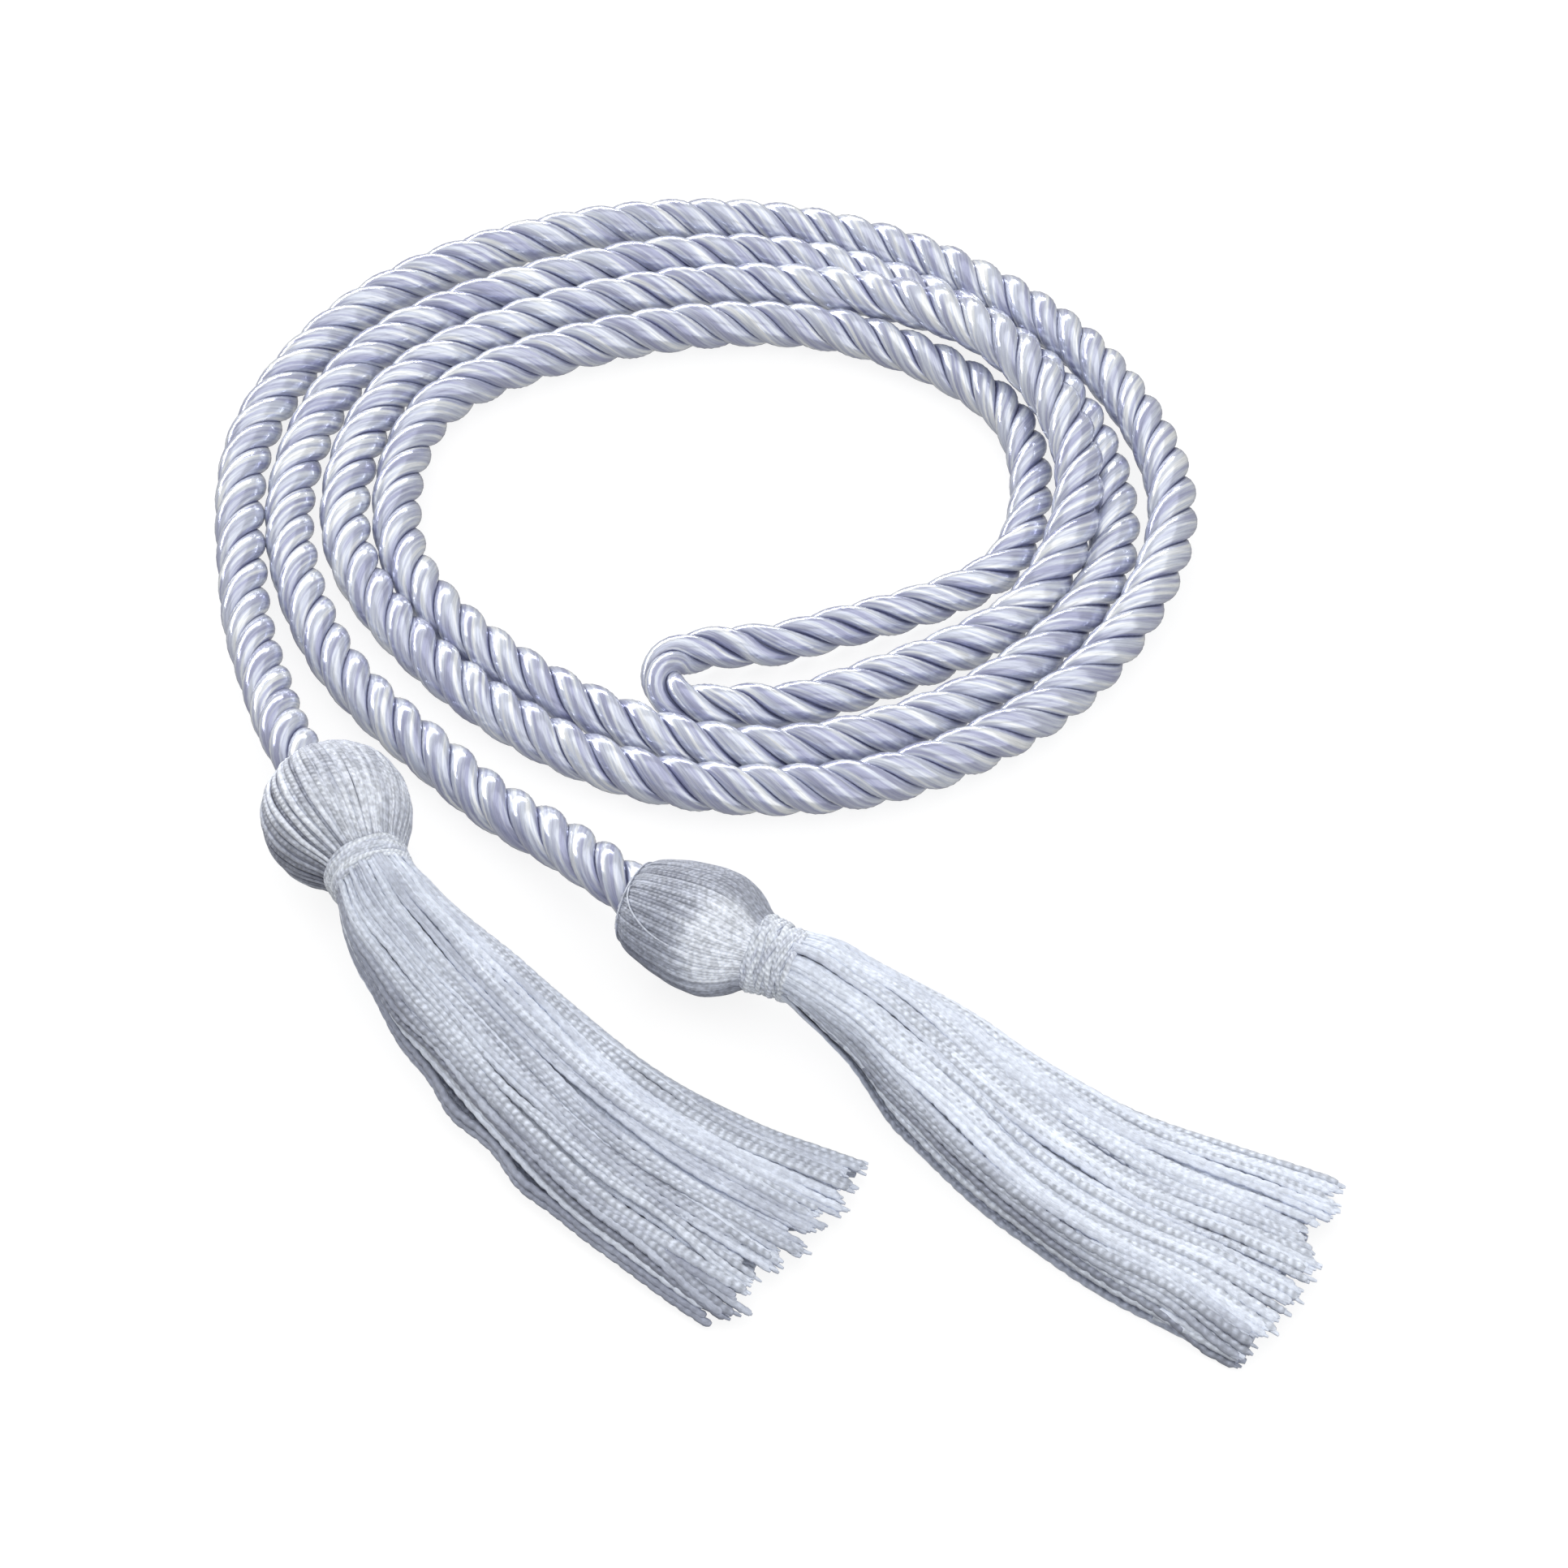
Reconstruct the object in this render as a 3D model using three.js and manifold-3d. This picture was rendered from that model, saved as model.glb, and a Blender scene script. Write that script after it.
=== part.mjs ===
// Honor cord: one long twisted rope with a tassel on each end, folded double and laid down in an oval coil.
// Millimetres, +Z up. The coil lies on the plane z = 0, with +X to the right and +Y to the back.

import * as THREE from 'three';
import { mergeVertices } from 'three/addons/utils/BufferGeometryUtils.js';
import Module from 'manifold-3d';

const wasm = await Module();
wasm.setup();

// Rope
const ropeThickness = 8; // over the crowns of its three plies
const plyCrown = 0.5; // how far the crowns stand out of the rope's mean round
const ropeSides = 8;
const ropeSteps = 84;
const ropeColour = 0xcfd0e2;

// Where the rope goes into a head, and where head and skirt meet inside the neck band
const socketDepth = 3;
const socketClearance = 0.4;
const seamClearance = 0.3;
const ropeLead = 8; // straight rope out of each head, its end in the socket included

// Tassels
const threadColour = 0xd6d8e4;
const bandColour = 0xdcdde8;
const roundSides = 28;
const skirtSteps = 8;
const lockOverlap = 1.3; // how far each lock reaches over its neighbours, 1 being edge to edge
const coreReach = 0.95; // the core's share of the skirt's width
const coreEnd = 0.93; // the core's share of the skirt's length
const coreHeight = 0.86; // the core's share of the skirt's height

// The head's outline: share of its length from the rope, share of its radius
const ballOutline = [
  { along: 0.0, out: 0.5 },
  { along: 0.06, out: 0.66 },
  { along: 0.16, out: 0.83 },
  { along: 0.3, out: 0.96 },
  { along: 0.46, out: 1.0 },
  { along: 0.62, out: 0.97 },
  { along: 0.78, out: 0.85 },
  { along: 0.9, out: 0.69 },
  { along: 1.0, out: 0.54 },
];
const bellOutline = [
  { along: 0.0, out: 0.55 },
  { along: 0.04, out: 0.68 },
  { along: 0.14, out: 0.81 },
  { along: 0.34, out: 0.93 },
  { along: 0.56, out: 1.0 },
  { along: 0.72, out: 0.99 },
  { along: 0.86, out: 0.87 },
  { along: 0.95, out: 0.72 },
  { along: 1.0, out: 0.61 },
];

// How a skirt spreads. Columns: share of its length, turn from the neck's direction in degrees,
// share of the way from the neck's width to the end's, of the way from the neck's top down to the end's,
// and of the way from the neck's underside down to the floor
const leftSpread = [
  { along: 0.0, turn: 0, wide: 0.0, drop: 0.0, fall: 0.0 },
  { along: 0.1, turn: 15, wide: 0.22, drop: 0.1, fall: 0.45 },
  { along: 0.25, turn: 16, wide: 0.42, drop: 0.36, fall: 0.9 },
  { along: 0.5, turn: 19, wide: 0.56, drop: 0.66, fall: 1.0 },
  { along: 0.75, turn: 30, wide: 0.76, drop: 0.86, fall: 1.0 },
  { along: 1.0, turn: 40, wide: 1.0, drop: 1.0, fall: 1.0 },
];
const rightSpread = [
  { along: 0.0, turn: 0, wide: 0.0, drop: 0.0, fall: 0.0 },
  { along: 0.12, turn: -9, wide: 0.15, drop: 0.12, fall: 0.5 },
  { along: 0.3, turn: -18, wide: 0.42, drop: 0.42, fall: 0.95 },
  { along: 0.55, turn: -9, wide: 0.62, drop: 0.7, fall: 1.0 },
  { along: 0.78, turn: 2, wide: 0.82, drop: 0.88, fall: 1.0 },
  { along: 1.0, turn: 5, wide: 1.0, drop: 1.0, fall: 1.0 },
];

// The rope's ends are given in rope thicknesses from the middle of the coil. Headings run from the rope to
// the skirt, in degrees from +X: the rope comes in at one, and head and neck lie along the other.
const leftTassel = {
  name: 'left_tassel',
  ropeEnd: { x: -6.86, y: -8.37 },
  ropeHeading: -57,
  heading: -64,
  headLength: 20.5,
  headRadius: 11,
  outline: ballOutline,
  neckRadius: 4.4,
  bandLength: 5.2,
  bandWall: 1.3,
  bandTaper: 0.2,
  skirtLength: 84,
  skirtSkew: 8.5, // how much longer its left side is than its right
  skirtWidth: 34,
  skirtThickness: 5,
  lowerLocks: 9,
  upperLocks: 10,
  raggedness: 0.06,
  spread: leftSpread,
};
const rightTassel = {
  name: 'right_tassel',
  ropeEnd: { x: -0.75, y: -11.15 },
  ropeHeading: -46,
  heading: -28,
  headLength: 20.5,
  headRadius: 9.3,
  outline: bellOutline,
  neckRadius: 3.7,
  bandLength: 7,
  bandWall: 1.2,
  bandTaper: 0.6,
  skirtLength: 84,
  skirtSkew: 2,
  skirtWidth: 35,
  skirtThickness: 5,
  lowerLocks: 9,
  upperLocks: 10,
  raggedness: 0.05,
  spread: rightSpread,
};

// The rope's route between its two ends: [right, back, height of its centre], in rope thicknesses from
// the middle of the coil. Out from the left tassel, twice round, the fold, twice round, to the right tassel.
const ropeRoute = [
  [-8.1, -5.55, 0.8],
  [-8.9, -2.5, 0.5],
  [-9.1, 1.95, 0.5],
  [-7.05, 5.9, 0.5],
  [-3.2, 8.15, 0.5],
  [1.25, 8.55, 0.5],
  [5.4, 6.85, 0.5],
  [8.3, 3.4, 0.75],
  [9.3, -0.9, 0.8],
  [7.25, -5.0, 0.5],
  [3.5, -7.45, 0.5],
  [-0.9, -7.4, 0.5],
  [-4.65, -4.9, 0.5],
  [-7.0, -1.05, 0.5],
  [-6.3, 3.3, 0.5],
  [-2.7, 5.85, 0.5],
  [1.75, 6.4, 0.6],
  [5.75, 4.2, 1.3],
  [7.5, 0.5, 1.1],
  [6.25, -3.1, 0.5],
  [2.45, -5.35, 0.5],
  [0.8, -5.6, 0.5],
  [0.1, -5.6, 0.5],
  [-0.5, -5.35, 0.5],
  [-0.7, -4.85, 0.5],
  [-0.5, -4.35, 0.5],
  [0.1, -4.1, 0.5],
  [0.8, -4.0, 0.5],
  [2.1, -3.75, 0.5],
  [6.0, -1.75, 0.5],
  [6.25, 2.45, 0.5],
  [2.8, 5.1, 0.5],
  [-1.65, 4.95, 0.5],
  [-5.45, 2.75, 0.5],
  [-5.85, -1.5, 0.5],
  [-3.1, -4.95, 0.5],
  [0.95, -6.75, 0.5],
  [5.15, -5.45, 0.5],
  [7.95, -2.05, 0.5],
  [7.8, 2.05, 0.5],
  [5.4, 5.6, 0.5],
  [1.35, 7.45, 0.5],
  [-3.15, 6.75, 0.5],
  [-6.9, 4.35, 0.5],
  [-8.2, 0.15, 0.5],
  [-7.1, -4.15, 0.5],
  [-4.25, -7.6, 0.5],
  [-2.45, -9.3, 0.8],
];

const mix = THREE.MathUtils.lerp;

function readTable(table, along, column) {
  let next = 1;
  while (next < table.length - 1 && table[next].along < along) {
    next += 1;
  }
  const from = table[next - 1];
  const to = table[next];
  const share = THREE.MathUtils.smoothstep(along, from.along, to.along);
  const straight = THREE.MathUtils.clamp((along - from.along) / (to.along - from.along), 0, 1);
  return mix(from[column], to[column], mix(straight, share, 0.4));
}

// A repeatable spread of values from 0 to 1, one for each whole number
function scatter(index) {
  return ((index * 0.618034 + 0.29) % 1 + ((index * 7.31) % 3) / 3) / 2;
}

function polygon(sides, radius) {
  const shape = new THREE.Shape();
  for (let side = 0; side < sides; side += 1) {
    const angle = (2 * Math.PI * side) / sides;
    const x = radius * Math.cos(angle);
    const y = radius * Math.sin(angle);
    if (side === 0) {
      shape.moveTo(x, y);
    } else {
      shape.lineTo(x, y);
    }
  }
  shape.closePath();
  return shape;
}

function closedShape(corners) {
  const shape = new THREE.Shape();
  shape.moveTo(...corners[0]);
  for (const corner of corners.slice(1)) {
    shape.lineTo(...corner);
  }
  shape.closePath();
  return shape;
}

function makeSolid(geometry) {
  const plain = geometry.clone();
  plain.deleteAttribute('normal');
  plain.deleteAttribute('uv');
  const merged = mergeVertices(plain, 1e-5);
  return new wasm.Manifold(new wasm.Mesh({
    numProp: 3,
    vertProperties: new Float32Array(merged.attributes.position.array),
    triVerts: new Uint32Array(merged.index.array),
  }));
}

function makeGeometry(solid) {
  const mesh = solid.getMesh();
  const geometry = new THREE.BufferGeometry();
  geometry.setAttribute('position', new THREE.BufferAttribute(new Float32Array(mesh.vertProperties), 3));
  geometry.setIndex(new THREE.BufferAttribute(new Uint32Array(mesh.triVerts), 1));
  geometry.computeVertexNormals();
  return geometry;
}

function makeMesh(name, geometry, colour, roughness) {
  const material = new THREE.MeshStandardMaterial({ color: colour, roughness, metalness: 0 });
  const mesh = new THREE.Mesh(geometry, material);
  mesh.name = name;
  return mesh;
}

// A route whose steps follow its points, so that they lie closer where the points do
class RopeCurve extends THREE.CatmullRomCurve3 {
  getPointAt(share, target) {
    return this.getPoint(share, target);
  }

  getTangentAt(share, target) {
    return this.getTangent(share, target);
  }
}

function ropeEndPoint(tassel, lead) {
  const heading = THREE.MathUtils.degToRad(tassel.ropeHeading);
  return new THREE.Vector3(
    tassel.ropeEnd.x * ropeThickness - lead * Math.cos(heading),
    tassel.ropeEnd.y * ropeThickness - lead * Math.sin(heading),
    tassel.headRadius,
  );
}

function makeRope() {
  const points = [ropeEndPoint(leftTassel, 0), ropeEndPoint(leftTassel, ropeLead)];
  for (const [right, back, height] of ropeRoute) {
    points.push(new THREE.Vector3(right, back, height).multiplyScalar(ropeThickness));
  }
  points.push(ropeEndPoint(rightTassel, ropeLead), ropeEndPoint(rightTassel, 0));
  return new THREE.ExtrudeGeometry(polygon(ropeSides, ropeThickness / 2 - plyCrown), {
    steps: ropeSteps,
    extrudePath: new RopeCurve(points, false, 'catmullrom', 0.5),
  });
}

// In a tassel's own frame +X runs from the rope to the skirt, and the rope's end is over the origin

function turnedBody(outline, height) {
  const geometry = new THREE.LatheGeometry(outline.map(([radius, along]) => new THREE.Vector2(radius, along)), roundSides);
  geometry.rotateZ(-Math.PI / 2);
  geometry.translate(0, 0, height);
  return geometry;
}

function headEnd(tassel) {
  return tassel.headLength - socketDepth;
}

function makeHead(tassel) {
  const seam = headEnd(tassel) + seamClearance + tassel.bandLength / 2;
  const outline = [[0, -socketDepth]];
  for (const { along, out } of tassel.outline) {
    outline.push([tassel.headRadius * out, tassel.headLength * along - socketDepth]);
  }
  outline.push([tassel.neckRadius, headEnd(tassel)]);
  outline.push([tassel.neckRadius, seam - seamClearance / 2]);
  outline.push([0, seam - seamClearance / 2]);

  // The socket lies along the rope, which may come in at an angle to the head
  const socketRadius = ropeThickness / 2 - plyCrown + socketClearance;
  const socketReach = 2 * tassel.headRadius;
  const socket = turnedBody([
    [0, -socketReach],
    [socketRadius, -socketReach],
    [socketRadius, seamClearance],
    [0, seamClearance],
  ], tassel.headRadius);
  socket.rotateZ(THREE.MathUtils.degToRad(tassel.ropeHeading - tassel.heading));
  return makeGeometry(makeSolid(turnedBody(outline, tassel.headRadius)).subtract(makeSolid(socket)));
}

function makeBand(tassel) {
  const inner = tassel.neckRadius + seamClearance;
  const outer = inner + tassel.bandWall;
  const start = headEnd(tassel) + seamClearance;
  const end = start + tassel.bandLength;
  const soft = tassel.bandWall * 0.4;
  const outline = [
    [inner, end],
    [inner, start],
    [outer + tassel.bandTaper - soft, start],
    [outer + tassel.bandTaper, start + soft],
    [outer, (start + end) / 2],
    [outer, end - soft],
    [outer - soft, end],
    [inner, end],
  ];
  return turnedBody(outline, tassel.headRadius);
}

// The skirt's middle line, heading, half width, lead of its left side, top and underside along its length
function skirtPlaces(tassel) {
  const rootRadius = tassel.neckRadius + seamClearance + tassel.bandWall;
  const start = headEnd(tassel) + 2 * seamClearance + tassel.bandLength;
  const places = [];
  const middle = new THREE.Vector2(start, 0);
  const slices = 60;
  for (let slice = 0; slice <= slices; slice += 1) {
    const along = slice / slices;
    const turn = THREE.MathUtils.degToRad(readTable(tassel.spread, along, 'turn'));
    places.push({
      middle: middle.clone(),
      turn,
      half: mix(rootRadius, tassel.skirtWidth / 2, readTable(tassel.spread, along, 'wide')),
      lead: (tassel.skirtSkew / 2) * along,
      top: mix(tassel.headRadius + rootRadius, tassel.skirtThickness, readTable(tassel.spread, along, 'drop')),
      under: mix(tassel.headRadius - rootRadius, 0, readTable(tassel.spread, along, 'fall')),
      flat: readTable(tassel.spread, along, 'fall'),
    });
    middle.x += (Math.cos(turn) * tassel.skirtLength) / slices;
    middle.y += (Math.sin(turn) * tassel.skirtLength) / slices;
  }
  return places;
}

function placeAt(places, along) {
  const at = THREE.MathUtils.clamp(along, 0, 1) * (places.length - 1);
  const low = Math.min(Math.floor(at), places.length - 2);
  const share = at - low;
  const from = places[low];
  const to = places[low + 1];
  return {
    middle: from.middle.clone().lerp(to.middle, share),
    turn: mix(from.turn, to.turn, share),
    half: mix(from.half, to.half, share),
    lead: mix(from.lead, to.lead, share),
    top: mix(from.top, to.top, share),
    under: mix(from.under, to.under, share),
    flat: mix(from.flat, to.flat, share),
  };
}

// A straight bar, in shares across and up and running along +Z, is bent into the skirt's form
function layOnSkirt(bar, places) {
  const position = bar.attributes.position;
  for (let index = 0; index < position.count; index += 1) {
    const across = THREE.MathUtils.clamp(position.getX(index), -1, 1);
    const up = position.getY(index);
    const place = placeAt(places, position.getZ(index));
    const round = Math.sqrt(1 - across * across);
    const dome = mix(round, Math.sqrt(1 - across ** 4), place.flat);
    const centre = (place.top + place.under) / 2;
    const radius = (place.top - place.under) / 2;
    const low = mix(centre - radius * round, place.under, place.flat);
    const high = mix(centre + radius * round, place.under + (place.top - place.under) * mix(0.25, 1, dome), place.flat);
    const side = across * place.half;
    const ahead = across * place.lead;
    position.setXYZ(
      index,
      place.middle.x + Math.cos(place.turn) * ahead - Math.sin(place.turn) * side,
      place.middle.y + Math.sin(place.turn) * ahead + Math.cos(place.turn) * side,
      mix(low, high, up),
    );
  }
  return bar;
}

function skirtBar(shape, end, places) {
  const bar = new THREE.ExtrudeGeometry(shape, { depth: end, steps: skirtSteps, bevelEnabled: false });
  return makeSolid(layOnSkirt(bar, places));
}

function makeSkirt(tassel) {
  const places = skirtPlaces(tassel);
  const coreShape = closedShape([
    [-coreReach, 0],
    [-coreReach / 3, 0],
    [coreReach / 3, 0],
    [coreReach, 0],
    [coreReach, coreHeight],
    [coreReach / 3, coreHeight],
    [-coreReach / 3, coreHeight],
    [-coreReach, coreHeight],
  ]);
  let skirt = skirtBar(coreShape, coreEnd, places);

  const rows = [
    { locks: tassel.lowerLocks, low: 0, high: 0.6, reach: 1 },
    { locks: tassel.upperLocks, low: 0.4, high: 1, reach: 0.96 },
  ];
  let count = 0;
  for (const row of rows) {
    const half = row.reach / row.locks;
    for (let lock = 0; lock < row.locks; lock += 1) {
      const centre = -row.reach + half * (2 * lock + 1);
      const wide = half * lockOverlap;
      const left = Math.max(centre - wide, -1);
      const right = Math.min(centre + wide, 1);
      const shape = closedShape([
        [mix(left, right, 0.3), row.low],
        [mix(left, right, 0.7), row.low],
        [right, mix(row.low, row.high, 0.45)],
        [mix(left, right, 0.72), row.high],
        [mix(left, right, 0.28), row.high],
        [left, mix(row.low, row.high, 0.45)],
      ]);
      skirt = skirt.add(skirtBar(shape, 1 - tassel.raggedness * scatter(count), places));
      count += 1;
    }
  }

  const root = headEnd(tassel) + 2 * seamClearance + tassel.bandLength;
  const seam = headEnd(tassel) + seamClearance + tassel.bandLength / 2 + seamClearance / 2;
  const stubReach = 1; // how far the stub runs on inside the skirt
  const stub = turnedBody([
    [0, seam],
    [tassel.neckRadius, seam],
    [tassel.neckRadius, root + stubReach],
    [0, root + stubReach],
  ], tassel.headRadius);
  return makeGeometry(skirt.add(makeSolid(stub)));
}

function makeTassel(tassel) {
  const group = new THREE.Group();
  group.add(makeMesh(`${tassel.name}_head`, makeHead(tassel), threadColour, 0.55));
  group.add(makeMesh(`${tassel.name}_neck_band`, makeBand(tassel), bandColour, 0.5));
  group.add(makeMesh(`${tassel.name}_skirt`, makeSkirt(tassel), threadColour, 0.6));
  group.position.set(tassel.ropeEnd.x * ropeThickness, tassel.ropeEnd.y * ropeThickness, 0);
  group.rotation.z = THREE.MathUtils.degToRad(tassel.heading);
  return group;
}

const laidCord = new THREE.Group();
laidCord.add(makeMesh('rope', makeRope(), ropeColour, 0.35));
laidCord.add(makeTassel(leftTassel));
laidCord.add(makeTassel(rightTassel));

// The origin is under the middle of the whole, on the surface it lies on
const box = new THREE.Box3().setFromObject(laidCord, true);
laidCord.position.set(-(box.min.x + box.max.x) / 2, -(box.min.y + box.max.y) / 2, -box.min.z);

const honorCord = new THREE.Group();
honorCord.add(laidCord);

export default honorCord;
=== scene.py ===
"""Honor cord: a long satin rope laid in an oval coil, with a thread tassel on each end. Metres, +Z up."""

import math

import bmesh
import bpy
import numpy as np
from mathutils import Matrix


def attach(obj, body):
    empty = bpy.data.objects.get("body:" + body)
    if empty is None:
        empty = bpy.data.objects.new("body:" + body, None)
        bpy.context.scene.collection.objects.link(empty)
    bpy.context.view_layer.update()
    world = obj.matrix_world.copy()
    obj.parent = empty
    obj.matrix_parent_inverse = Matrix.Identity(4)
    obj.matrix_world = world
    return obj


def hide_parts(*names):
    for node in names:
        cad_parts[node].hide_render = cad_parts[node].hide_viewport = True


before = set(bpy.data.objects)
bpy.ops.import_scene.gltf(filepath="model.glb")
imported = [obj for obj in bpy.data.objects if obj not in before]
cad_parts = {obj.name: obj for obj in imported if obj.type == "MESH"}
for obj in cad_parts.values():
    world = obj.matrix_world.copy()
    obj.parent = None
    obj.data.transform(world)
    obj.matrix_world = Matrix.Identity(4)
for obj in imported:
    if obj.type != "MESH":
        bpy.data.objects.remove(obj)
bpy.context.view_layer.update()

# Sizes of the rope
ROPE_THICKNESS = 0.008
ROPE_LEAD = 0.008
PLIES = 3
PLY_PITCH = 2.46 * ROPE_THICKNESS
PLY_OFFSET = 0.27 * ROPE_THICKNESS
PLY_DEPTH = 0.23 * ROPE_THICKNESS
PLY_WIDTH = 0.262 * ROPE_THICKNESS
PLY_SIDES = 18
RING_STEP = 0.00087

# Where the middle of the coil lies from the middle of the whole
COIL_MIDDLE = np.array([-0.007, 0.04545, 0.0])

# The rope's route between its two ends, from the coil's middle: right, back, height of its centre
ROPE_ROUTE = [
    [-0.0648, -0.0444, 0.0064],
    [-0.0712, -0.0200, 0.0040],
    [-0.0728, 0.0156, 0.0040],
    [-0.0564, 0.0472, 0.0040],
    [-0.0256, 0.0652, 0.0040],
    [0.0100, 0.0684, 0.0040],
    [0.0432, 0.0548, 0.0040],
    [0.0664, 0.0272, 0.0060],
    [0.0744, -0.0072, 0.0064],
    [0.0580, -0.0400, 0.0040],
    [0.0280, -0.0596, 0.0040],
    [-0.0072, -0.0592, 0.0040],
    [-0.0372, -0.0392, 0.0040],
    [-0.0560, -0.0084, 0.0040],
    [-0.0504, 0.0264, 0.0040],
    [-0.0216, 0.0468, 0.0040],
    [0.0140, 0.0512, 0.0048],
    [0.0460, 0.0336, 0.0104],
    [0.0600, 0.0040, 0.0088],
    [0.0500, -0.0248, 0.0040],
    [0.0196, -0.0428, 0.0040],
    [0.0064, -0.0448, 0.0040],
    [0.0008, -0.0448, 0.0040],
    [-0.0040, -0.0428, 0.0040],
    [-0.0056, -0.0388, 0.0040],
    [-0.0040, -0.0348, 0.0040],
    [0.0008, -0.0328, 0.0040],
    [0.0064, -0.0320, 0.0040],
    [0.0168, -0.0300, 0.0040],
    [0.0480, -0.0140, 0.0040],
    [0.0500, 0.0196, 0.0040],
    [0.0224, 0.0408, 0.0040],
    [-0.0132, 0.0396, 0.0040],
    [-0.0436, 0.0220, 0.0040],
    [-0.0468, -0.0120, 0.0040],
    [-0.0248, -0.0396, 0.0040],
    [0.0076, -0.0540, 0.0040],
    [0.0412, -0.0436, 0.0040],
    [0.0636, -0.0164, 0.0040],
    [0.0624, 0.0164, 0.0040],
    [0.0432, 0.0448, 0.0040],
    [0.0108, 0.0596, 0.0040],
    [-0.0252, 0.0540, 0.0040],
    [-0.0552, 0.0348, 0.0040],
    [-0.0656, 0.0012, 0.0040],
    [-0.0568, -0.0332, 0.0040],
    [-0.0340, -0.0608, 0.0040],
    [-0.0196, -0.0744, 0.0064],
]

# How the rope thins where it is pulled tight round the fold. Columns: metres along it, share of its thickness
ROPE_THINNING = [
    {"run": 0.00, "size": 1.0},
    {"run": 0.70, "size": 1.0},
    {"run": 0.74, "size": 0.9},
    {"run": 0.765, "size": 0.84},
    {"run": 0.80, "size": 0.86},
    {"run": 0.84, "size": 0.89},
    {"run": 0.90, "size": 0.97},
    {"run": 0.96, "size": 1.0},
    {"run": 1.60, "size": 1.0},
]

# A head's outline: share of its length from the rope, share of its radius
BALL_OUTLINE = [
    {"along": 0.0, "out": 0.5},
    {"along": 0.06, "out": 0.66},
    {"along": 0.16, "out": 0.83},
    {"along": 0.3, "out": 0.96},
    {"along": 0.46, "out": 1.0},
    {"along": 0.62, "out": 0.97},
    {"along": 0.78, "out": 0.85},
    {"along": 0.9, "out": 0.69},
    {"along": 1.0, "out": 0.54},
]
BELL_OUTLINE = [
    {"along": 0.0, "out": 0.55},
    {"along": 0.04, "out": 0.68},
    {"along": 0.14, "out": 0.81},
    {"along": 0.34, "out": 0.93},
    {"along": 0.56, "out": 1.0},
    {"along": 0.72, "out": 0.99},
    {"along": 0.86, "out": 0.87},
    {"along": 0.95, "out": 0.72},
    {"along": 1.0, "out": 0.61},
]

# How a skirt spreads along its length: turn in degrees, and shares of the way from the neck's width, top and
# underside to the end's
LEFT_SPREAD = [
    {"along": 0.0, "turn": 0, "wide": 0.0, "drop": 0.0, "fall": 0.0},
    {"along": 0.1, "turn": 15, "wide": 0.22, "drop": 0.1, "fall": 0.45},
    {"along": 0.25, "turn": 16, "wide": 0.42, "drop": 0.36, "fall": 0.9},
    {"along": 0.5, "turn": 19, "wide": 0.56, "drop": 0.66, "fall": 1.0},
    {"along": 0.75, "turn": 30, "wide": 0.76, "drop": 0.86, "fall": 1.0},
    {"along": 1.0, "turn": 40, "wide": 1.0, "drop": 1.0, "fall": 1.0},
]
RIGHT_SPREAD = [
    {"along": 0.0, "turn": 0, "wide": 0.0, "drop": 0.0, "fall": 0.0},
    {"along": 0.12, "turn": -9, "wide": 0.15, "drop": 0.12, "fall": 0.5},
    {"along": 0.3, "turn": -18, "wide": 0.42, "drop": 0.42, "fall": 0.95},
    {"along": 0.55, "turn": -9, "wide": 0.62, "drop": 0.7, "fall": 1.0},
    {"along": 0.78, "turn": 2, "wide": 0.82, "drop": 0.88, "fall": 1.0},
    {"along": 1.0, "turn": 5, "wide": 1.0, "drop": 1.0, "fall": 1.0},
]

SOCKET_DEPTH = 0.003
SEAM = 0.0003
LEFT_TASSEL = {
    "side": "left",
    "seed": 3,
    "rope_end": (-0.05488, -0.06696),
    "rope_heading": -57,
    "heading": -64,
    "head_length": 0.0205,
    "head_radius": 0.011,
    "outline": BALL_OUTLINE,
    "head_threads": 88,
    "strays": [],
    "ridges": 44,
    "ridged_from": 100,
    "ridged_to": 250,
    "painted_sheen": {"angle": 78, "wide": 40, "share": 0.74, "long": 0.22, "much": 0.3},
    "head_tone": 0.47,
    "streaks": 0.15,
    "painted_underside_shade": 0.55,
    "neck_radius": 0.0044,
    "band_length": 0.0052,
    "band_wall": 0.0013,
    "band_taper": 0.0002,
    "band_turns": 11,
    "band_covered": 0.62,
    "skirt_length": 0.084,
    "skirt_skew": 0.0085,
    "skirt_width": 0.034,
    "skirt_thickness": 0.005,
    "raggedness": 0.05,
    "near_lock": 0.0011,
    "root_swell": 0.0007,
    "root_start": -0.036,
    "root_lean": -0.016,
    "tone": 0.44,
    "near_edge_shade": 0.8,
    "valley": 0.22,
    "spread": LEFT_SPREAD,
}
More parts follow.
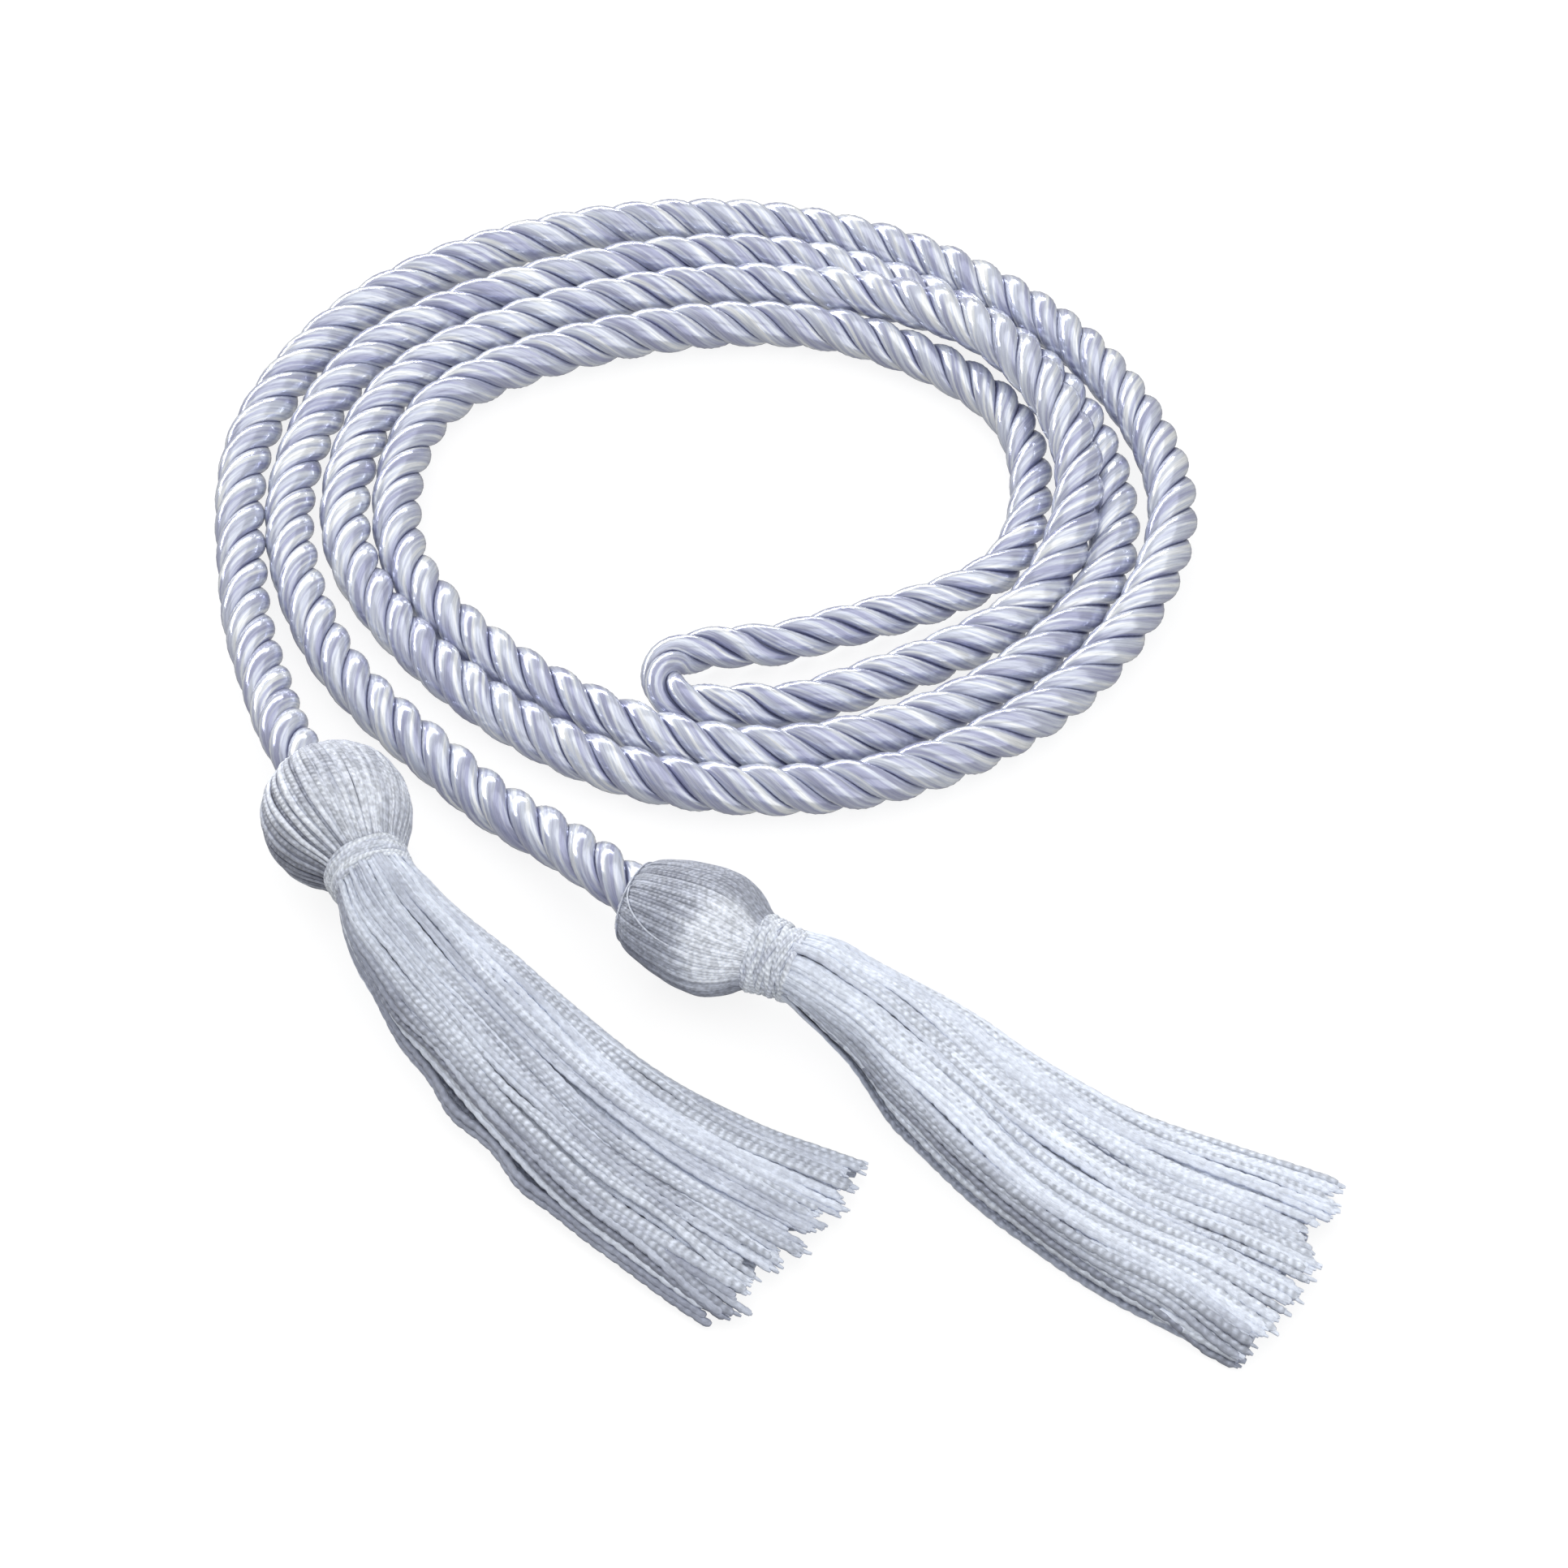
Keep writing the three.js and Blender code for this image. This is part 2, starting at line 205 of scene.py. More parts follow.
RIGHT_TASSEL = {
    "side": "right",
    "seed": 8,
    "rope_end": (-0.006, -0.0892),
    "rope_heading": -46,
    "heading": -28,
    "head_length": 0.0205,
    "head_radius": 0.0093,
    "outline": BELL_OUTLINE,
    "head_threads": 96,
    "strays": [
        {"from_angle": 20, "to_angle": 260, "from_share": 0.1, "to_share": 0.12},
        {"from_angle": 110, "to_angle": 152, "from_share": 0.12, "to_share": 0.5},
    ],
    "ridges": 28,
    "ridged_from": 0,
    "ridged_to": 360,
    "painted_sheen": {"angle": 140, "wide": 46, "share": 0.77, "long": 0.2, "much": 1.25},
    "head_tone": 0.27,
    "streaks": 0.07,
    "painted_underside_shade": 0.2,
    "neck_radius": 0.0037,
    "band_length": 0.007,
    "band_wall": 0.0012,
    "band_taper": 0.0006,
    "band_turns": 12,
    "band_covered": 0.9,
    "skirt_length": 0.084,
    "skirt_skew": 0.002,
    "skirt_width": 0.035,
    "skirt_thickness": 0.005,
    "raggedness": 0.05,
    "near_lock": 0.0,
    "root_swell": 0.0008,
    "root_start": -0.018,
    "root_lean": 0.0,
    "tone": 0.68,
    "near_edge_shade": 0.55,
    "valley": 0.12,
    "spread": RIGHT_SPREAD,
}

# Threads
THREAD_WIDTH = 0.00135
THREAD_DEPTH = 0.00095
STITCH_LENGTH = 0.0013
HEAD_STITCH_LENGTH = 0.0008
HEAD_THREAD_DEPTH = 0.0007
BAND_THREAD_WIDTH = 0.0009
BAND_THREAD_DEPTH = 0.0008
STITCH_OFFSET = 40.0
LOCKS = 12
LOCK_THREAD_SHARE = 0.046
SKIRT_SLICES = 60
SKIRT_VALUES = 60

# How far apart the rings of each kind of skirt thread are
THREAD_STEP = 0.0005
FRAYED_STEP = 0.0006
NEAR_LOCK_STEP = 0.00042
LAYER_STEP = 0.0008

# A ply's streaks turn round it and change along it at these rates, and a thread's fibres change along it
STREAK_TURN = 75.0
STREAK_RUN = 38.0
FIBRE_RUN = 260.0
FLAT = (1.0, 1.0, 0.0)

SKIRT_LOOK = {
    "light": (0.80, 0.855, 0.96), "mid": (0.61, 0.655, 0.755), "dark": (0.32, 0.345, 0.43),
    "roughness": 0.5, "stitch": STITCH_LENGTH, "slant": 0.5, "speckle": 0.1, "slip": 3.0,
}
HEAD_LOOK = {
    "light": (0.84, 0.88, 0.96), "mid": (0.46, 0.49, 0.575), "dark": (0.22, 0.235, 0.30),
    "roughness": 0.45, "stitch": HEAD_STITCH_LENGTH, "slant": 1.5, "speckle": 0.2, "slip": 4.0,
}
BAND_LOOK = {
    "light": (0.87, 0.92, 1.0), "mid": (0.74, 0.785, 0.90), "dark": (0.50, 0.53, 0.64),
    "roughness": 0.5, "stitch": HEAD_STITCH_LENGTH, "slant": 1.5, "speckle": 0.16, "slip": 4.0,
}

# Camera, at the photograph's angle, and the studio
CAMERA_PLACE = (0.00614, -0.40391, 0.43568)
CAMERA_TILT = 42
CAMERA_LENS = 89.44
LIGHTS = [
    {"name": "window", "place": (-0.52, 0.8, 0.36), "size": (1.7, 0.14), "power": 10.5},
    {"name": "overhead", "place": (0.2, 0.1, 1.1), "size": (1.4, 1.4), "power": 4.3},
    {"name": "front", "place": (0.55, -0.85, 0.5), "size": (1.6, 1.0), "power": 4.0},
]
FLOOR_REACH = 4.0


# Small helpers

def read_table(table, column, value, key="along", ease=0.4):
    """The value of a column at one or many places along a table."""
    value = np.asarray(value, dtype=float)
    places = np.array([row[key] for row in table])
    heights = np.array([row[column] for row in table], dtype=float)
    at = np.clip(np.searchsorted(places, value, side="right"), 1, len(places) - 1)
    share = np.clip((value - places[at - 1]) / (places[at] - places[at - 1]), 0, 1)
    share = share + (share * share * (3 - 2 * share) - share) * ease
    return heights[at - 1] + (heights[at] - heights[at - 1]) * share


def mix(start, end, share):
    return start + (end - start) * share


def unit(vectors):
    vectors = np.asarray(vectors, dtype=float)
    return vectors / np.maximum(np.linalg.norm(vectors, axis=-1, keepdims=True), 1e-12)


def lengths_along(points):
    return np.r_[0, np.cumsum(np.linalg.norm(np.diff(points, axis=0), axis=1))]


def smooth_path(points, per=40):
    """A Catmull-Rom curve through the points, in many short steps."""
    points = np.asarray(points, dtype=float)
    padded = np.vstack([2 * points[0] - points[1], points, 2 * points[-1] - points[-2]])
    share = np.linspace(0, 1, per, endpoint=False)[:, None]
    pieces = []
    for first in range(len(points) - 1):
        before, start, end, after = padded[first:first + 4]
        leave, arrive = (end - before) / 2, (after - start) / 2
        pieces.append(
            (2 * share**3 - 3 * share**2 + 1) * start + (share**3 - 2 * share**2 + share) * leave
            + (3 * share**2 - 2 * share**3) * end + (share**3 - share**2) * arrive
        )
    return np.vstack(pieces + [points[-1:]])


def even_steps(points, step):
    """The same path with its points an even step apart."""
    run = lengths_along(points)
    wanted = np.linspace(0, run[-1], max(2, int(round(run[-1] / step)) + 1))
    return np.column_stack([np.interp(wanted, run, points[:, axis]) for axis in range(3)]), wanted


def slow_noise(rng, count, knots, size):
    """A smooth wander of about the given size, in so many knots over its length."""
    values = rng.uniform(-size, size, knots)
    at = np.linspace(0, knots - 1, count)
    low = np.clip(np.floor(at).astype(int), 0, knots - 2)
    share = at - low
    share = share * share * (3 - 2 * share)
    return mix(values[low], values[low + 1], share)


# Node trees

class Nodes:
    """The nodes of one tree, made in short calls."""

    def __init__(self, tree):
        self.tree = tree

    def add(self, kind, inputs=None, **settings):
        node = self.tree.nodes.new(kind)
        for label, value in settings.items():
            setattr(node, label, value)
        for label, value in (inputs or {}).items():
            if isinstance(value, bpy.types.NodeSocket):
                self.tree.links.new(value, node.inputs[label])
            else:
                node.inputs[label].default_value = value
        return node

    def calc(self, operation, first, second=0.0):
        return self.add("ShaderNodeMath", {0: first, 1: second}, operation=operation).outputs[0]

    def plus(self, first, second):
        return self.calc("ADD", first, second)

    def times(self, first, second):
        return self.calc("MULTIPLY", first, second)

    def vector(self, operation, first, second):
        label = 3 if operation == "SCALE" else 1
        return self.add("ShaderNodeVectorMath", {0: first, label: second}, operation=operation).outputs[0]

    def ramp(self, value, stops):
        node = self.add("ShaderNodeValToRGB", {"Fac": value})
        ramp = node.color_ramp
        while len(ramp.elements) < len(stops):
            ramp.elements.new(0.5)
        for element, (place, colour) in zip(ramp.elements, stops):
            element.position = place
            element.color = (*colour, 1.0) if isinstance(colour, tuple) else (colour, colour, colour, 1.0)
        return node.outputs["Color"]


class Growth(Nodes):
    """A geometry node tree with named sizes."""

    def __init__(self, name, sizes):
        super().__init__(bpy.data.node_groups.new(name, "GeometryNodeTree"))
        sockets = self.tree.interface
        sockets.new_socket("Geometry", in_out="INPUT", socket_type="NodeSocketGeometry")
        for label, value in sizes.items():
            kind = "NodeSocketInt" if isinstance(value, int) else "NodeSocketFloat"
            socket = sockets.new_socket(label, in_out="INPUT", socket_type=kind)
            socket.default_value = value
        sockets.new_socket("Geometry", in_out="OUTPUT", socket_type="NodeSocketGeometry")
        self.sizes = self.tree.nodes.new("NodeGroupInput").outputs

    def read(self, name, data_type="FLOAT"):
        return self.add("GeometryNodeInputNamedAttribute", {"Name": name}, data_type=data_type).outputs[0]

    def store(self, geometry, name, value, data_type="FLOAT"):
        node = self.add(
            "GeometryNodeStoreNamedAttribute",
            {"Geometry": geometry, "Name": name, "Value": value},
            data_type=data_type, domain="POINT",
        )
        return node.outputs[0]

    def round_profile(self, sides, depth, width):
        """A closed oval, deep along its first axis and wide along its second."""
        circle = self.add(
            "GeometryNodeCurvePrimitiveCircle", {"Resolution": sides, "Radius": 1.0}, mode="RADIUS")
        place = self.add("GeometryNodeInputPosition").outputs[0]
        marked = self.store(circle.outputs[0], "round", place, "FLOAT_VECTOR")
        oval = self.add("ShaderNodeCombineXYZ", {0: depth, 1: width, 2: 1.0}).outputs[0]
        sized = self.vector("MULTIPLY", place, oval)
        return self.add("GeometryNodeSetPosition", {"Geometry": marked, "Position": sized}).outputs[0]

    def move(self, curve, offset, normal):
        """The curve moved aside, with its normals turned."""
        moved = self.add("GeometryNodeSetPosition", {"Geometry": curve, "Offset": offset}).outputs[0]
        turned = self.add("GeometryNodeSetCurveNormal", {"Curve": moved, "Normal": normal}, mode="FREE")
        return turned.outputs[0]

    def sweep(self, curve, profile, scale):
        """A closed mesh along a curve."""
        inputs = {"Curve": curve, "Profile Curve": profile, "Scale": scale, "Fill Caps": True}
        return self.add("GeometryNodeCurveToMesh", inputs).outputs[0]

    def finish(self, mesh, material):
        smooth = self.add("GeometryNodeSetShadeSmooth", {"Geometry": mesh}).outputs[0]
        real = self.add("GeometryNodeRealizeInstances", {"Geometry": smooth}).outputs[0]
        made = self.add("GeometryNodeSetMaterial", {"Geometry": real, "Material": material}).outputs[0]
        self.tree.links.new(made, self.tree.nodes.new("NodeGroupOutput").inputs[0])
        return self


def twisted_rope_tree(material):
    """Plies wound round a path. The path carries side, up, twist, run and size."""
    tree = Growth("Twisted rope", {
        "Plies": PLIES, "Ply Offset": PLY_OFFSET, "Ply Depth": PLY_DEPTH, "Ply Width": PLY_WIDTH,
        "Ply Sides": PLY_SIDES,
    })
    sizes = tree.sizes
    path = tree.add("GeometryNodeMeshToCurve", {0: sizes["Geometry"]}).outputs[0]
    copies = tree.add(
        "GeometryNodeDuplicateElements", {"Geometry": path, "Amount": sizes["Plies"]}, domain="SPLINE")
    marked = tree.store(copies.outputs[0], "ply", tree.times(copies.outputs[1], 1.0))
    share = tree.calc("DIVIDE", tree.read("ply"), sizes["Plies"])
    angle = tree.plus(tree.read("twist"), tree.times(share, 2 * math.pi))
    outward = tree.vector(
        "ADD",
        tree.vector("SCALE", tree.read("side", "FLOAT_VECTOR"), tree.calc("COSINE", angle)),
        tree.vector("SCALE", tree.read("up", "FLOAT_VECTOR"), tree.calc("SINE", angle)),
    )
    marked = tree.store(marked, "outward", outward, "FLOAT_VECTOR")
    reach = tree.times(sizes["Ply Offset"], tree.read("size"))
    outward = tree.read("outward", "FLOAT_VECTOR")
    wound = tree.move(marked, tree.vector("SCALE", outward, reach), outward)
    profile = tree.round_profile(sizes["Ply Sides"], sizes["Ply Depth"], sizes["Ply Width"])
    return tree.finish(tree.sweep(wound, profile, tree.read("size")), material)


def chained_thread_tree(material):
    """A thread of chain stitches along each path. A path carries out, run, size, shade, chain and offset."""
    tree = Growth("Chained thread", {
        "Thread Width": THREAD_WIDTH, "Thread Depth": THREAD_DEPTH, "Stitch Length": STITCH_LENGTH,
        "Stitch Swell": 0.07, "Stitch Sway": 0.05, "Thread Sides": 7,
    })
    sizes = tree.sizes
    path = tree.add("GeometryNodeMeshToCurve", {0: sizes["Geometry"]}).outputs[0]
    out = tree.read("out", "FLOAT_VECTOR")
    tangent = tree.add("GeometryNodeInputTangent").outputs[0]
    across = tree.vector("CROSS_PRODUCT", tangent, out)
    turns = tree.times(tree.calc("DIVIDE", tree.read("run"), sizes["Stitch Length"]), 2 * math.pi)
    turns = tree.plus(turns, tree.times(tree.read("offset"), STITCH_OFFSET))
    marked = tree.store(path, "stitch", tree.calc("COSINE", turns))
    wide = tree.times(sizes["Thread Width"], tree.read("size"))
    sway = tree.times(tree.times(sizes["Stitch Sway"], wide), tree.calc("SINE", tree.times(turns, 0.5)))
    laid = tree.move(marked, tree.vector("SCALE", across, sway), out)
    swell = tree.plus(tree.times(tree.read("stitch"), sizes["Stitch Swell"]), 1.0)
    profile = tree.round_profile(
        sizes["Thread Sides"], tree.times(sizes["Thread Depth"], 0.5), tree.times(sizes["Thread Width"], 0.5))
    return tree.finish(tree.sweep(laid, profile, tree.times(swell, tree.read("size"))), material)


def path_object(name, strands):
    """A mesh of bare edges, one chain for each strand. A strand is a dict of points and named values."""
    counts = [len(strand["points"]) for strand in strands]
    mesh = bpy.data.meshes.new(name)
    total = sum(counts)
    mesh.vertices.add(total)
    mesh.vertices.foreach_set("co", np.vstack([strand["points"] for strand in strands]).ravel())
    starts = np.cumsum([0] + counts[:-1])
    edges = np.vstack([
        np.column_stack([np.arange(count - 1), np.arange(1, count)]) + start
        for start, count in zip(starts, counts)
    ])
    mesh.edges.add(len(edges))
    mesh.edges.foreach_set("vertices", edges.astype(np.int32).ravel())
    for label in strands[0]:
        if label == "points":
            continue
        rows = [np.broadcast_to(strand[label], (count, 3) if np.ndim(strand[label]) == 2 else (count,))
                for strand, count in zip(strands, counts)]
        vector = rows[0].ndim == 2
        layer = mesh.attributes.new(label, "FLOAT_VECTOR" if vector else "FLOAT", "POINT")
        values = np.concatenate(rows).astype(np.float32).ravel()
        layer.data.foreach_set("vector" if vector else "value", values)
    mesh.update()
    thing = bpy.data.objects.new(name, mesh)
    bpy.context.collection.objects.link(thing)
    return thing


def grow(name, strands, tree, sizes=None):
    """Runs a tree along the strands' paths and keeps the result as a plain mesh."""
    guide = path_object(name + "_path", strands)
    modifier = guide.modifiers.new(tree.tree.name, "NODES")
    modifier.node_group = tree.tree
    items = tree.tree.interface.items_tree
    sockets = {item.name: item.identifier for item in items if item.in_out == "INPUT"}
    for label, value in (sizes or {}).items():
        modifier[sockets[label]] = value
    depsgraph = bpy.context.evaluated_depsgraph_get()
    depsgraph.update()
    mesh = bpy.data.meshes.new_from_object(
        guide.evaluated_get(depsgraph), preserve_all_data_layers=True, depsgraph=depsgraph)
    mesh.name = name
    bpy.data.objects.remove(guide)
    piece = bpy.data.objects.new(name, mesh)
    bpy.context.collection.objects.link(piece)
    return piece


def ring_mesh(name, rings, material, closed_ring=False):
    """A closed skin over rings of equal count. A closed_ring skin joins its last ring to its first."""
    rings = np.asarray(rings)
    count, sides = rings.shape[:2]
    faces = []
    for ring in range(count if closed_ring else count - 1):
        after = (ring + 1) % count
        for side in range(sides):
            turn = (side + 1) % sides
            corners = ((ring, side), (ring, turn), (after, turn), (after, side))
            faces.append(tuple(row * sides + place for row, place in corners))
    if not closed_ring:
        faces.append(tuple(range(sides))[::-1])
        faces.append(tuple((count - 1) * sides + side for side in range(sides)))
    mesh = bpy.data.meshes.new(name)
    mesh.from_pydata(rings.reshape(-1, 3).tolist(), [], faces)
    mesh.polygons.foreach_set("use_smooth", [True] * len(mesh.polygons))
    mesh.materials.append(material)
    mesh.update()
    piece = bpy.data.objects.new(name, mesh)
    bpy.context.collection.objects.link(piece)
    return piece


def face_outwards(piece):
    """Turns every face of a closed mesh outwards."""
    work = bmesh.new()
    work.from_mesh(piece.data)
    bmesh.ops.recalc_face_normals(work, faces=work.faces)
    work.to_mesh(piece.data)
    work.free()
    return piece


def join(name, pieces):
    bpy.ops.object.select_all(action="DESELECT")
    for piece in pieces:
        piece.select_set(True)
    bpy.context.view_layer.objects.active = pieces[0]
    bpy.ops.object.join()
    pieces[0].name = name
    pieces[0].data.name = name
    return pieces[0]


# Materials

class Finish(Nodes):
    """A material with a Principled shader."""

    def __init__(self, name, roughness, sheen):
        self.material = bpy.data.materials.new(name)
        self.material.use_nodes = True
        super().__init__(self.material.node_tree)
        self.shader = self.tree.nodes["Principled BSDF"]
        self.set("Roughness", roughness)
        self.set("Sheen Weight", sheen)
        self.set("Sheen Roughness", 0.4)

    def set(self, label, value):
        self.shader.inputs[label].default_value = value

    def read(self, name, vector=False):
        return self.add("ShaderNodeAttribute", attribute_name=name).outputs["Vector" if vector else "Fac"]

    def noise(self, place, scale, detail, roughness=0.5):
        inputs = {"Vector": place, "Scale": scale, "Detail": detail, "Roughness": roughness}
        return self.add("ShaderNodeTexNoise", inputs).outputs[0]

    def darken(self, first, second):
        """One colour times another."""
        inputs = {0: 1.0, 6: first, 7: second}
        return self.add("ShaderNodeMix", inputs, data_type="RGBA", blend_type="MULTIPLY").outputs[2]

    def bump(self, height, distance, strength=1.0, under=None):
        inputs = {"Height": height, "Distance": distance, "Strength": strength}
        if under is not None:
            inputs["Normal"] = under
        return self.add("ShaderNodeBump", inputs).outputs[0]

    def finish(self, colour, normal):
        self.tree.links.new(colour, self.shader.inputs["Base Color"])
        self.tree.links.new(normal, self.shader.inputs["Normal"])
        return self.material


def satin_material():
    """Filaments that run along each ply, with bright and dull streaks, and painted shade down in the grooves.
    """
    satin = Finish("rope_satin", roughness=0.18, sheen=0.05)
    satin.set("Metallic", 0.4)
    satin.set("Specular IOR Level", 0.8)
    around = satin.read("round", vector=True)
    run = satin.read("run")
    outward = satin.add("ShaderNodeSeparateXYZ", {0: around}).outputs[0]

    # The filaments turn slowly round the ply as they run along it
    turned = satin.add(
        "ShaderNodeVectorRotate", {"Vector": around, "Angle": satin.times(run, STREAK_TURN)},
        rotation_type="Z_AXIS").outputs[0]
    along = satin.plus(satin.times(run, STREAK_RUN), satin.read("ply"))
    length = satin.add("ShaderNodeCombineXYZ", {"Z": along}).outputs[0]
    spot = satin.vector("ADD", satin.vector("MULTIPLY", turned, FLAT), length)
    coarse = satin.noise(spot, 2.4, 1.5)
    fine = satin.noise(spot, 10.0, 3.0, 0.7)

    body = satin.ramp(coarse, [
        (0.36, (0.44, 0.46, 0.64)),
        (0.47, (0.60, 0.63, 0.77)),
        (0.56, (0.73, 0.775, 0.89)),
        (0.65, (0.96, 0.98, 1.0)),
    ])
    threads = satin.ramp(fine, [(0.36, 0.8), (0.58, 1.0)])
    # Painted shade: the colour darkens where a ply turns in towards the rope's middle, down in the grooves
    # between plies
    groove_shade = satin.ramp(outward, [(0.0, (0.36, 0.37, 0.48)), (0.16, (0.68, 0.69, 0.78)), (0.32, 1.0)])
    colour = satin.darken(satin.darken(body, threads), groove_shade)
    height = satin.plus(coarse, satin.times(fine, 0.25))
    return satin.finish(colour, satin.bump(height, 0.0002, 0.3))


def thread_material(name, look):
    """Thread with pale stitches in a row where its chain shows, fine fibres along it, and painted shade on
    the side that faces in.
    """
    thread = Finish(name, look["roughness"], sheen=0.25)
    around = thread.read("round", vector=True)
    outward, sideways, _ = thread.add("ShaderNodeSeparateXYZ", {0: around}).outputs
    run = thread.read("run")
    offset = thread.read("offset")
    chain = thread.read("chain")
    place = thread.add("ShaderNodeTexCoord").outputs["Object"]

    # Stitches, which slip a little along the thread
    turns = thread.times(run, 2 * math.pi / look["stitch"])
    phase = thread.plus(turns, thread.times(sideways, look["slant"]))
    phase = thread.plus(phase, thread.times(offset, STITCH_OFFSET))
    phase = thread.plus(phase, thread.times(thread.noise(place, 420.0, 1.0), look["slip"]))
    stitches = thread.plus(thread.times(thread.calc("COSINE", phase), 0.5), 0.5)
    crown = thread.calc("SUBTRACT", 1.0, thread.times(sideways, sideways))
    relief = thread.times(thread.times(stitches, crown), chain)

    # Fibres along it, wide clouds, fine flecks and fuzz, and painted shade on the side that faces in
    along = thread.plus(thread.times(run, FIBRE_RUN), offset)
    length = thread.add("ShaderNodeCombineXYZ", {"Z": along}).outputs[0]
    fibres = thread.noise(thread.vector("ADD", thread.vector("MULTIPLY", around, FLAT), length), 4.0, 2.0)
    cloud = thread.noise(place, 150.0, 3.0)
    fuzz = thread.noise(place, 2600.0, 2.0)
    flecks = thread.noise(place, 1150.0, 1.0)

    speckle = look["speckle"]
    tone = thread.plus(thread.times(thread.read("shade"), 0.7), thread.times(cloud, 0.3))
    colour = thread.ramp(tone, [(0.15, look["dark"]), (0.42, look["mid"]), (0.75, look["light"])])
    plain = thread.calc("SUBTRACT", thread.plus(relief, 1.0), chain)
    for layer in (
        thread.ramp(fibres, [(0.3, 0.86), (0.65, 1.06)]),
        thread.ramp(flecks, [(0.38, 1 - speckle), (0.62, 1 + speckle * 0.7)]),
        thread.ramp(plain, [(0.0, 0.72), (0.5, 0.95), (1.0, 1.14)]),
        # Painted shade: darker on the side of the thread that faces in, towards the threads beneath
        thread.ramp(outward, [(0.0, (0.72, 0.73, 0.79)), (0.45, 1.0)]),
    ):
        colour = thread.darken(colour, layer)
    soft = thread.bump(thread.plus(fuzz, fibres), 0.00008, 0.4)
    return thread.finish(colour, thread.bump(relief, 0.0002, 0.8, under=soft))


def core_material():
    """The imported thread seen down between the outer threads."""
    core = Finish("packed_thread", roughness=0.8, sheen=0.1)
    packed = core.noise(core.add("ShaderNodeTexCoord").outputs["Object"], 900.0, 3.0)
    colour = core.ramp(packed, [(0.3, (0.30, 0.31, 0.37)), (0.7, (0.46, 0.47, 0.54))])
    return core.finish(colour, core.bump(packed, 0.0002, 0.6))


packed_thread = core_material()
rope_tree = twisted_rope_tree(satin_material())
skirt_tree = chained_thread_tree(thread_material("skirt_thread", SKIRT_LOOK))
head_tree = chained_thread_tree(thread_material("head_thread", HEAD_LOOK))
band_tree = chained_thread_tree(thread_material("band_thread", BAND_LOOK))


# The rope

def rope_end(tassel, lead):
    heading = math.radians(tassel["rope_heading"])
    x, y = tassel["rope_end"]
    return [x - lead * math.cos(heading), y - lead * math.sin(heading), tassel["head_radius"]]


def rope_path():
    points = [rope_end(LEFT_TASSEL, 0), rope_end(LEFT_TASSEL, ROPE_LEAD)] + ROPE_ROUTE
    points += [rope_end(RIGHT_TASSEL, ROPE_LEAD), rope_end(RIGHT_TASSEL, 0)]
    return smooth_path(points) + COIL_MIDDLE


def make_rope():
    points, run = even_steps(rope_path(), RING_STEP)
    heading = unit(np.gradient(points, axis=0))
    side = unit(np.cross([0.0, 0.0, 1.0], heading))
    up = np.cross(heading, side)
    rng = np.random.default_rng(11)
    pitch = PLY_PITCH * (1 + slow_noise(rng, len(points), 24, 0.05))
    twist = np.r_[0, np.cumsum(2 * math.pi * np.diff(run) / pitch[1:])]
    size = read_table(ROPE_THINNING, "size", run, key="run") * (1 + slow_noise(rng, len(points), 60, 0.015))
    points[:, 2] = np.maximum(points[:, 2], ROPE_THICKNESS / 2 * np.maximum(size, 1))
    strand = {"points": points, "side": side, "up": up, "twist": twist, "run": run, "size": size}
    return grow("rope_plies", [strand], rope_tree), points, run[-1]


# The tassels

def turn_out(tassel, vectors):
    """Directions from a tassel's own frame, with +X from the rope to the skirt, to the laid cord's."""
    vectors = np.asarray(vectors, dtype=float)
    turn = math.radians(tassel["heading"])
    return np.column_stack([
        vectors[:, 0] * math.cos(turn) - vectors[:, 1] * math.sin(turn),
        vectors[:, 0] * math.sin(turn) + vectors[:, 1] * math.cos(turn),
        vectors[:, 2],
    ])


def stand(tassel, points):
    """The same turn for points, which also move to the rope's end."""
    return turn_out(tassel, points) + [*tassel["rope_end"], 0.0] + COIL_MIDDLE


def around_axis(tassel, along, radius, angles):
    """Points at places along the tassel's axis, radii and angles round it."""
    return np.column_stack([
        np.broadcast_to(along, angles.shape), radius * np.cos(angles),
        tassel["head_radius"] + radius * np.sin(angles)])


def head_end(tassel):
    return tassel["head_length"] - SOCKET_DEPTH


def lathe(tassel, name, rows, material, sides=48, closed_ring=False):
    """A body turned about the tassel's axis, from rows of place along it and radius."""
    angles = np.linspace(0, 2 * math.pi, sides, endpoint=False)
    rings = [stand(tassel, around_axis(tassel, along, radius, angles)) for along, radius in rows]
    return face_outwards(ring_mesh(name, rings, material, closed_ring))


def head_profile(tassel):
    """Places along the axis, radii and normals of the head's outline, from its socket to under the band."""
    length, radius = tassel["head_length"], tassel["head_radius"]
    share = np.linspace(-0.02, 1.1, 100)
    rise = read_table(tassel["outline"], "out", np.clip(share, 0, 1), ease=0.25)
    rise = np.convolve(np.pad(rise, 5, mode="edge"), np.full(11, 1 / 11), mode="valid")
    rise = rise - np.where(share < 0, 0.16, 0) - np.clip(share - 1.03, 0, 1) * 2.0
    profile = np.column_stack([length * share - SOCKET_DEPTH, radius * rise])
    normal = unit(np.column_stack([-np.gradient(profile[:, 1]), np.gradient(profile[:, 0])]))
    return profile, normal


def ridge_at(tassel, angle):
    """How high the bundles of threads stand at an angle round the head, from -1 to 1."""
    degrees = np.degrees(angle) % 360
    inside = np.clip(np.minimum(degrees - tassel["ridged_from"], tassel["ridged_to"] - degrees) / 25, 0, 1)
    full = tassel["ridged_to"] - tassel["ridged_from"] >= 360
    share = 0.25 if full else 0.15 + 0.85 * inside
    wave = np.cos(angle * tassel["ridges"]) + 0.5 * np.cos(angle * (tassel["ridges"] * 0.37) + 1.3)
    return share * wave / 1.5


